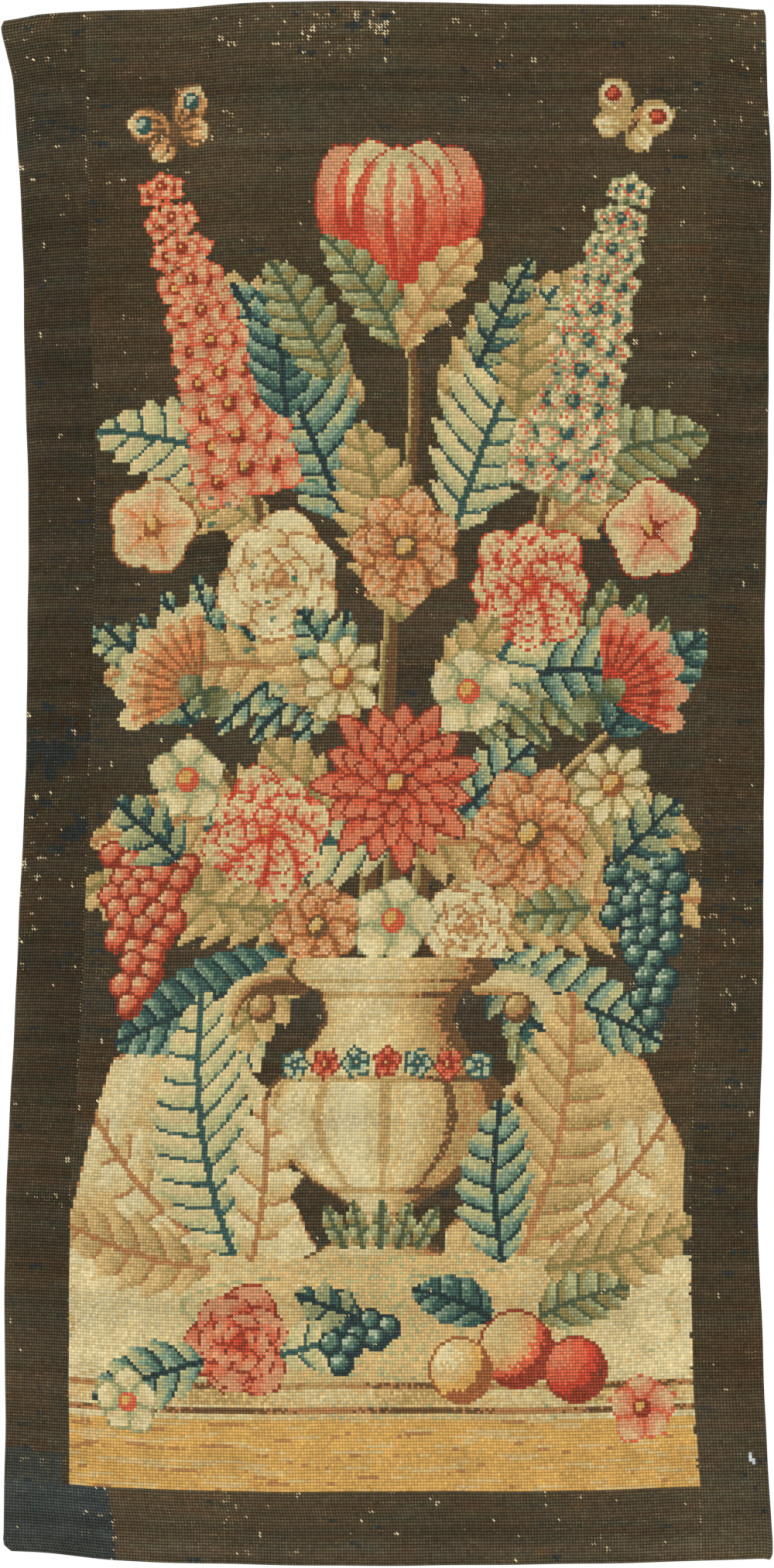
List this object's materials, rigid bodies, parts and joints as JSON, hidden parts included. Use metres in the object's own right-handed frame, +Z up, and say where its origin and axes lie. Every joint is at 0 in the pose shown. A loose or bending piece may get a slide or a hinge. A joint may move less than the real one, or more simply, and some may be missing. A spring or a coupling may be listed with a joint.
{
  "type": "tapestry",
  "caption": "Tall hung needlework panel: a flowered centre with dark side and bottom strips and a darker corner patch sewn on, gently rippled.",
  "frame": {"origin": "middle of the top edge, at the wall behind the panel", "axes": "+X to the viewer's right along the top edge, +Y back into the wall, +Z up"},
  "size_m": [0.6581, 0.009, 1.3345],
  "materials": {
    "centre_wool": "matt wool cross stitch, flowers in cream, tan, coral, sage and blue on a brown-black ground",
    "ground_wool": "matt brown-black wool cross stitch, worn",
    "patch_wool": "matt navy-teal wool cross stitch"
  },
  "bodies": {
    "root": {"centre_panel": "centre_wool", "left_strip": "ground_wool", "right_strip": "ground_wool", "bottom_strip": "ground_wool", "corner_patch": "patch_wool"}
  },
  "joints": []
}
